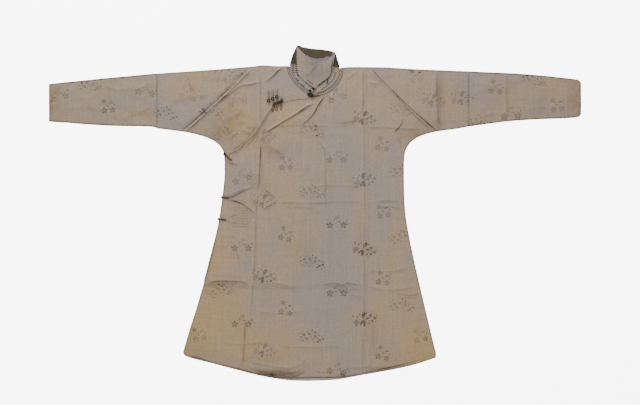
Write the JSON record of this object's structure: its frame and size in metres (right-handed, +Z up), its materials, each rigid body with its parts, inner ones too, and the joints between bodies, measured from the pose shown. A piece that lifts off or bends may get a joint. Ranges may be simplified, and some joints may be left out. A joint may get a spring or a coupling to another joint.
{
  "type": "figured silk jacket",
  "caption": "Long figured-silk jacket laid flat, front up, with a tall stand collar, an overlap fastening at the side with knot buttons, narrowing sleeves and a curved hem.",
  "frame": {"origin": "centre of the garment's outline on the surface it lies on", "axes": "+X across the garment towards the wearer's left cuff, +Y from hem to collar, +Z up from the surface, through the front"},
  "size_m": [1.596, 1.008, 0.0136],
  "materials": {
    "figured_silk": "soft silk sheen",
    "olive_silk": "dull",
    "lilac_silk": "soft silk sheen",
    "lining_cotton": "matt",
    "brown_cord": "matt",
    "indigo_cord": "matt"
  },
  "bodies": {
    "root": {"back": "figured_silk", "front_flap": "figured_silk", "front_overlap": "figured_silk", "right_sleeve": "figured_silk", "left_sleeve": "figured_silk", "collar_back": "olive_silk", "collar_under": "lilac_silk", "collar_front": "figured_silk", "right_stand": "figured_silk", "left_stand": "figured_silk", "right_piping": "olive_silk", "left_piping": "olive_silk", "hem_lining": "lining_cotton", "collar_loop": "brown_cord", "collar_button_1": "indigo_cord", "collar_button_2": "indigo_cord", "collar_button_3": "indigo_cord", "chest_button_1": "brown_cord", "chest_button_2": "brown_cord", "chest_button_3": "brown_cord", "chest_loop_1": "brown_cord", "chest_loop_2": "brown_cord", "chest_loop_3": "brown_cord", "side_button_1": "brown_cord", "side_button_2": "brown_cord", "side_button_3": "brown_cord"}
  },
  "joints": []
}
